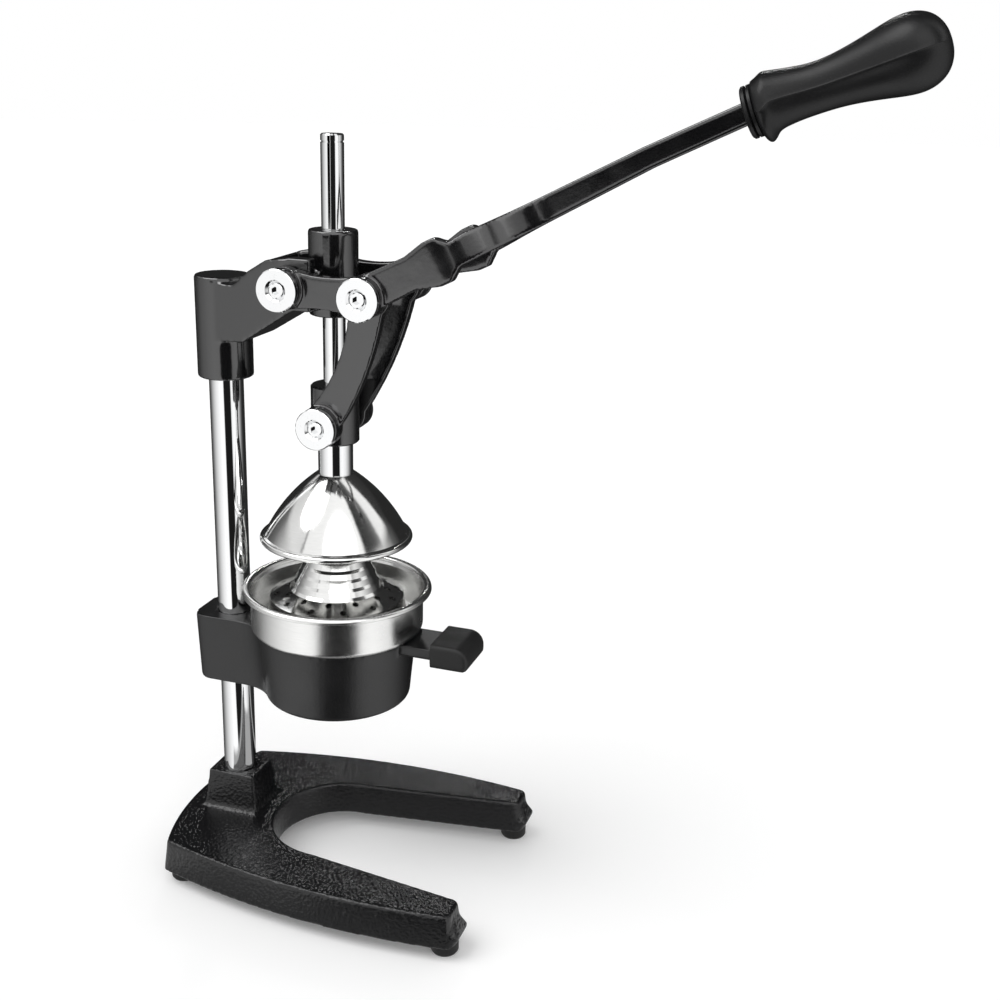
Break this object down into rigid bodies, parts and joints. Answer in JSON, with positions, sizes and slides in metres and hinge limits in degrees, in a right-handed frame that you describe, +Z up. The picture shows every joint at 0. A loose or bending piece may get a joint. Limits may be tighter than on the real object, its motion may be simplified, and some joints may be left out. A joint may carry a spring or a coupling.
{
  "type": "lever citrus juice press",
  "caption": "Tall lever press for citrus: a forked lever and two bowed rods push a steel dome down over a strainer cone in a bowl, on a column and legged base.",
  "frame": {"origin": "on the press axis of rod, dome and bowl, at the counter surface under the feet", "axes": "+Z up along the press axis; the lever, the bowl holder's tang and the base legs point to -Y and the column stands at +Y; X = 0 is the mirror plane"},
  "size_m": [0.1804, 0.4599, 0.5719],
  "materials": {
    "hammered_black": "gloss black paint with a hammered skin, on cast iron",
    "satin_black": "satin black paint",
    "gloss_black": "smooth gloss black paint",
    "rubber": "matt black rubber",
    "black_plastic": "fine matt moulded plastic",
    "chrome": "bright plated",
    "polished_steel": "polished, with fine turning marks",
    "plain_steel": "plain turned steel"
  },
  "bodies": {
    "frame": {"base": "hammered_black", "foot_front_left": "rubber", "foot_front_right": "rubber", "foot_rear_left": "rubber", "foot_rear_right": "rubber", "foot_screws": "plain_steel", "column": "chrome", "base_set_screw": "plain_steel", "bowl_holder": "satin_black", "holder_set_screw": "plain_steel", "holder_tip": "rubber", "head": "gloss_black", "head_set_screw": "plain_steel"},
    "lever_arm": {"lever": "gloss_black", "grip_collar": "black_plastic", "grip": "black_plastic", "hinge_axle": "plain_steel", "hinge_caps": "chrome", "hinge_cap_screws": "chrome", "stud_right": "plain_steel", "stud_left": "plain_steel", "stud_caps": "chrome", "stud_cap_screws": "chrome"},
    "plunger": {"plunger_rod": "chrome", "crosshead": "gloss_black", "spacer_sleeve": "chrome", "dome": "polished_steel", "dome_screw": "polished_steel", "crosshead_pin": "plain_steel", "crosshead_caps": "chrome", "crosshead_cap_screws": "chrome"},
    "left_rod": {"rod_left": "gloss_black"},
    "right_rod": {"rod_right": "gloss_black"},
    "drip_funnel": {"funnel": "polished_steel"},
    "juice_bowl": {"bowl": "polished_steel"},
    "fruit_cone": {"strainer": "polished_steel"}
  },
  "joints": [
    {"name": "lever_hinge", "type": "hinge", "parent": "frame", "child": "lever_arm", "pos_m": [0, 0.0166, 0.409], "axis": [-1, 0, 0], "range_deg": [-27, 62]},
    {"name": "plunger_slide", "type": "slide", "parent": "frame", "child": "plunger", "axis": [0, 0, 1], "range_m": [-0.01823, 0.04185]},
    {"name": "left_rod_hinge", "type": "hinge", "parent": "plunger", "child": "left_rod", "pos_m": [-0.022, 0, 0.322], "axis": [-1, 0, 0], "range_deg": [-4.1, 9.4]},
    {"name": "right_rod_hinge", "type": "hinge", "parent": "plunger", "child": "right_rod", "pos_m": [0.022, 0, 0.322], "axis": [-1, 0, 0], "range_deg": [-4.1, 9.4]},
    {"name": "funnel_lift", "type": "slide", "parent": "frame", "child": "drip_funnel", "axis": [0, 0, 1], "range_m": [0, 0.006]},
    {"name": "bowl_lift", "type": "slide", "parent": "drip_funnel", "child": "juice_bowl", "axis": [0, 0, 1], "range_m": [0, 0.009]},
    {"name": "cone_lift", "type": "slide", "parent": "juice_bowl", "child": "fruit_cone", "axis": [0, 0, 1], "range_m": [0, 0.006]}
  ],
  "couplings": [
    {"joint": "plunger_slide", "follows": "lever_hinge", "m_per_rad": 0.038674},
    {"joint": "left_rod_hinge", "follows": "lever_hinge", "ratio": 0.15},
    {"joint": "right_rod_hinge", "follows": "lever_hinge", "ratio": 0.15}
  ]
}
